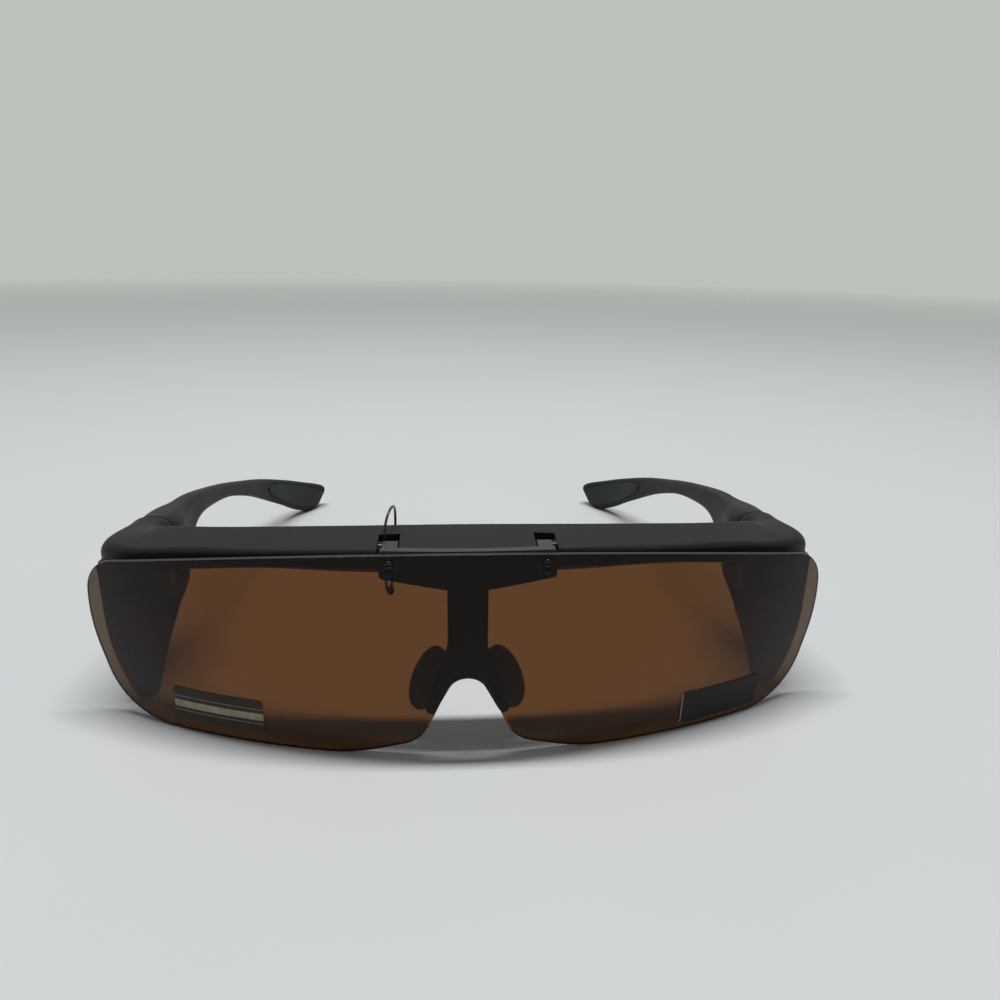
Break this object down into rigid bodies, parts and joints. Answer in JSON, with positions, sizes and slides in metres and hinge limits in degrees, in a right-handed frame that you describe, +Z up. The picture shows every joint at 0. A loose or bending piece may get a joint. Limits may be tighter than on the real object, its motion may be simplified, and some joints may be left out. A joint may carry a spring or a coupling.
{
  "type": "flip up sunglasses",
  "caption": "Half-rim fit-over sunglasses with a one-piece wrap shield lens that flips up on a brow hinge, side wings, nose pads and folding temples.",
  "frame": {"origin": "bottom centre of the box round the glasses, leaving out the nylon loop; the lens lobes and the temple tips stand on z = 0", "axes": "+Z up, -Y is the way the wearer looks, +Y runs along the temples to their tips, and +X is the right-hand side as seen from in front; left and right in node names are as seen from in front"},
  "size_m": [0.1508, 0.151, 0.0468],
  "materials": {
    "frame": "matte",
    "lens": "polished",
    "bracket": "satin",
    "dark_steel": "satin",
    "nose_rubber": "matte",
    "tip_rubber": "matte",
    "label_film": "gloss",
    "nylon": "gloss"
  },
  "bodies": {
    "frame": {"front_frame": "frame", "tag_loop": "nylon", "loop_clasp": "nylon", "left_nose_pad": "nose_rubber", "left_flip_pin": "dark_steel", "left_flip_washer": "dark_steel", "left_front_hinge_leaf": "dark_steel", "left_front_leaf_rivets": "dark_steel", "left_hinge_screw": "dark_steel", "right_nose_pad": "nose_rubber", "right_flip_pin": "dark_steel", "right_flip_washer": "dark_steel", "right_front_hinge_leaf": "dark_steel", "right_front_leaf_rivets": "dark_steel", "right_hinge_screw": "dark_steel"},
    "lens_flip": {"shield_lens": "lens", "hinge_bracket": "bracket", "lens_screws": "dark_steel", "left_lens_label": "label_film", "right_lens_label": "label_film"},
    "left_temple": {"left_temple": "frame", "left_temple_hinge_leaf": "dark_steel", "left_temple_leaf_rivets": "dark_steel", "left_tip_pad": "tip_rubber"},
    "right_temple": {"right_temple": "frame", "right_temple_hinge_leaf": "dark_steel", "right_temple_leaf_rivets": "dark_steel", "right_tip_pad": "tip_rubber"}
  },
  "joints": [
    {"name": "lens_flip", "type": "hinge", "parent": "frame", "child": "lens_flip", "pos_m": [0, -0.06828, 0.0407], "axis": [-1, 0, 0], "range_deg": [0, 90]},
    {"name": "left_temple_fold", "type": "hinge", "parent": "frame", "child": "left_temple", "pos_m": [-0.0626, -0.03726, 0.02625], "axis": [0, 0, -1], "range_deg": [0, 90]},
    {"name": "right_temple_fold", "type": "hinge", "parent": "frame", "child": "right_temple", "pos_m": [0.0626, -0.03726, 0.02625], "axis": [0, 0, 1], "range_deg": [0, 83]}
  ]
}
